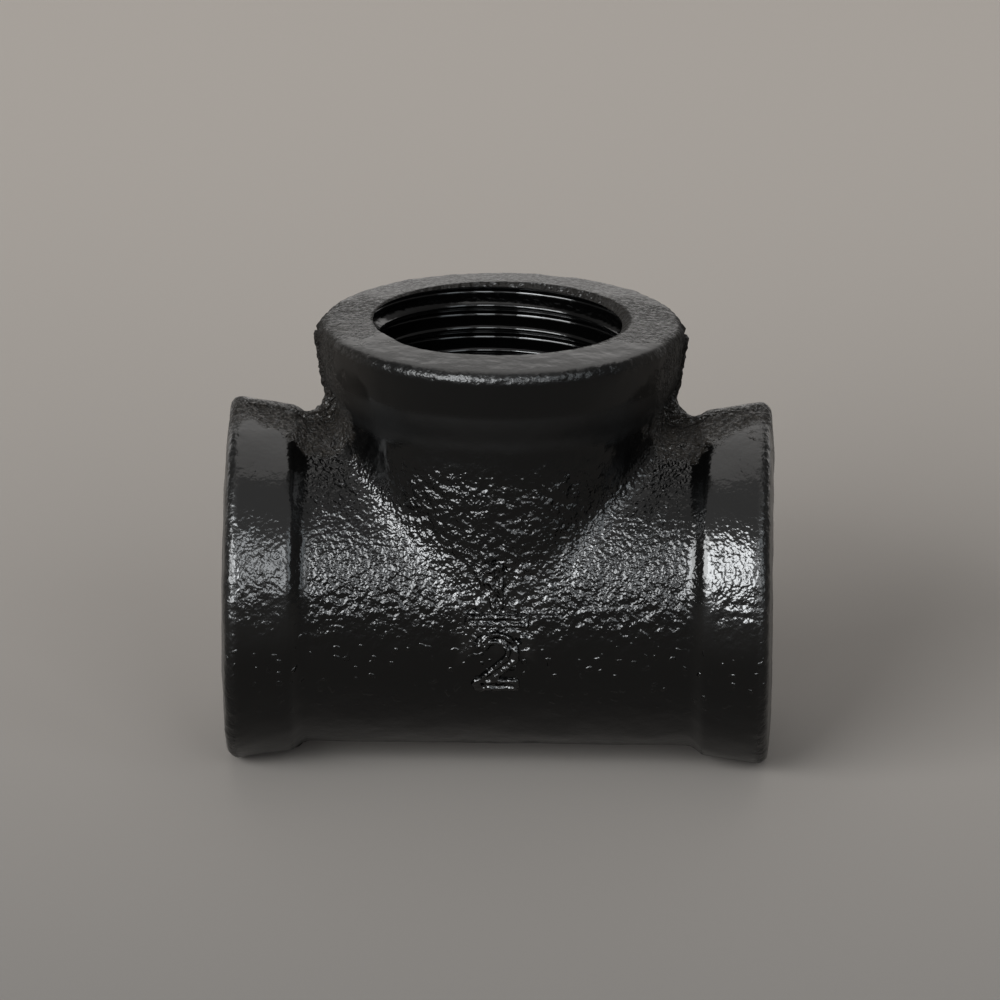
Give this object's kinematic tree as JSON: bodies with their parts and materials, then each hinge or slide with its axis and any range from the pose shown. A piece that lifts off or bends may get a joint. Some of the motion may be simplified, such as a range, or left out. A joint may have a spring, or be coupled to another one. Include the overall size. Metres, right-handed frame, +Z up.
{
  "type": "pipe tee",
  "caption": "Compact cast pipe tee with three internally threaded ports, each in a reinforcing collar; joins two pipes in line and a third at a right angle.",
  "frame": {"origin": "on the floor under the middle of the run, where the tee stands on its two run collars", "axes": "+X along the run towards one port, +Z up along the branch, -Y towards the side with the raised size mark"},
  "size_m": [0.0424, 0.028, 0.035],
  "materials": {
    "black_cast_iron": "gloss"
  },
  "bodies": {
    "root": {"tee_body": "black_cast_iron"}
  },
  "joints": []
}
